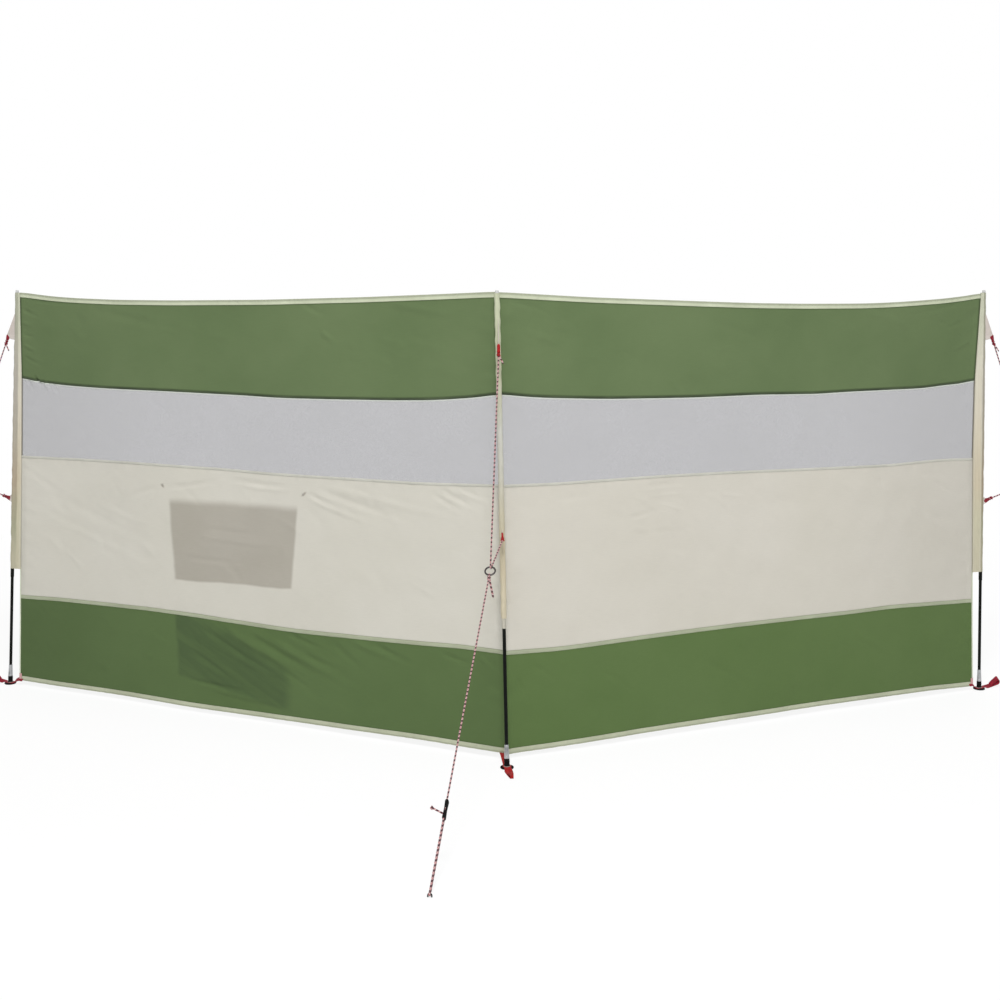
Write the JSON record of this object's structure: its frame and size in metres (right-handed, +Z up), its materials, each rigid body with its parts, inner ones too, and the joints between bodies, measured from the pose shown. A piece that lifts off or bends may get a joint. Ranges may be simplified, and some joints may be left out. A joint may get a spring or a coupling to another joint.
{
  "type": "beach windbreak",
  "caption": "Two-bay beach windbreak: banded green and beige cloth with a mesh strip, slim poles on disc feet, guy lines, foot straps and a rear pocket.",
  "frame": {"origin": "centre of the middle pole's foot, on its underside at ground level", "axes": "+X to the right as seen from the wind side, +Y to the sheltered side, +Z up"},
  "size_m": [6.3386, 2.4308, 1.5002],
  "materials": {
    "pole_black": "smooth satin black",
    "cap_grey": "moulded grey",
    "ferrule_metal": "turned, satin",
    "foot_black": "moulded black",
    "red_webbing": "woven red webbing",
    "sleeve_cloth": "plain woven cream",
    "tab_cloth": "plain woven cream with red webbing loops",
    "guy_cord": "braided cord in red, black and white",
    "steel": "drawn wire, bright",
    "slider_black": "moulded black",
    "green_cloth": "thin woven cloth, matt",
    "mesh_cloth": "open fine mesh",
    "beige_cloth": "thin woven cloth, matt",
    "tape_cloth": "folded cream tape, stitched",
    "pocket_cloth": "thin woven cloth, matt"
  },
  "bodies": {
    "root": {"centre_bridle": "guy_cord", "centre_foot_strap": "red_webbing", "centre_guy_line": "guy_cord", "centre_guy_tabs": "tab_cloth", "centre_pole": "pole_black", "centre_sleeve": "sleeve_cloth", "centre_slider": "slider_black", "guy_pegs": "steel", "guy_rings": "steel", "left_bridle": "guy_cord", "left_edge_binding": "tape_cloth", "left_foot_strap": "red_webbing", "left_guy_line": "guy_cord", "left_guy_tabs": "tab_cloth", "left_lower_band": "green_cloth", "left_mesh_band": "mesh_cloth", "left_middle_band": "beige_cloth", "left_pole": "pole_black", "left_seam_tapes": "tape_cloth", "left_sleeve": "sleeve_cloth", "left_slider": "slider_black", "left_upper_band": "green_cloth", "pocket": "pocket_cloth", "pocket_hangers": "pocket_cloth", "pole_caps": "cap_grey", "pole_couplings": "ferrule_metal", "pole_feet": "foot_black", "pole_ferrules": "ferrule_metal", "right_bridle": "guy_cord", "right_edge_binding": "tape_cloth", "right_foot_strap": "red_webbing", "right_guy_line": "guy_cord", "right_guy_tabs": "tab_cloth", "right_lower_band": "green_cloth", "right_mesh_band": "mesh_cloth", "right_middle_band": "beige_cloth", "right_pole": "pole_black", "right_seam_tapes": "tape_cloth", "right_sleeve": "sleeve_cloth", "right_slider": "slider_black", "right_upper_band": "green_cloth"}
  },
  "joints": []
}
